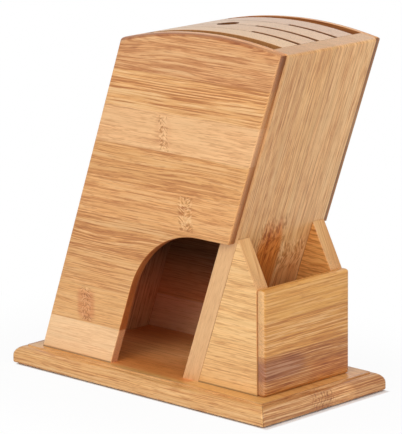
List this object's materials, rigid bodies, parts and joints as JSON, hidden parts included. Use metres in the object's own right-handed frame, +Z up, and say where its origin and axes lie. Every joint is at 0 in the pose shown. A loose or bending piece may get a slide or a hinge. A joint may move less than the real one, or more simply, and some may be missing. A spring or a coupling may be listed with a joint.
{
  "type": "knife block",
  "caption": "Leaning bamboo knife block with a crowned top, knife slots, long grooves and a steel hole, arched sides, an open box in front and a base with moulded edging.",
  "frame": {"origin": "under the middle of the block's box, on the surface that the pads stand on", "axes": "+X from the back towards the compartment, +Y across the block from the left panel to the right one, +Z up"},
  "size_m": [0.2564, 0.128, 0.2613],
  "materials": {
    "bamboo_panel": "clear gloss lacquer over horizontal edge-glued bamboo strips",
    "bamboo_face": "clear gloss lacquer, grain along the lean",
    "bamboo_core": "clear gloss lacquer on sanded end and edge grain",
    "bamboo_base": "clear gloss lacquer, grain along the board",
    "bamboo_edging": "clear gloss lacquer, grain along each mitred strip",
    "bamboo_box": "clear gloss lacquer, grain along each board",
    "rubber_pad": "matt black rubber",
    "screw_steel": "zinc plated steel"
  },
  "bodies": {
    "root": {"base_board": "bamboo_base", "side_panel_left": "bamboo_panel", "side_panel_right": "bamboo_panel", "front_board": "bamboo_face", "back_board": "bamboo_face", "core_plank_outer_left": "bamboo_core", "core_plank_inner_left": "bamboo_core", "core_plank_inner_right": "bamboo_core", "core_plank_outer_right": "bamboo_core", "slot_spacer_left": "bamboo_core", "slot_spacer_right": "bamboo_core", "slot_spacer_middle_back": "bamboo_core", "slot_spacer_middle_front": "bamboo_core", "compartment_side_left": "bamboo_box", "compartment_side_right": "bamboo_box", "compartment_front": "bamboo_box", "base_edging_front": "bamboo_edging", "base_edging_right": "bamboo_edging", "base_edging_back": "bamboo_edging", "base_edging_left": "bamboo_edging", "foot_pad_1": "rubber_pad", "foot_pad_2": "rubber_pad", "foot_pad_3": "rubber_pad", "foot_pad_4": "rubber_pad", "base_screw_1": "screw_steel", "base_screw_2": "screw_steel", "base_screw_3": "screw_steel", "base_screw_4": "screw_steel", "base_screw_5": "screw_steel", "base_screw_6": "screw_steel"}
  },
  "joints": []
}
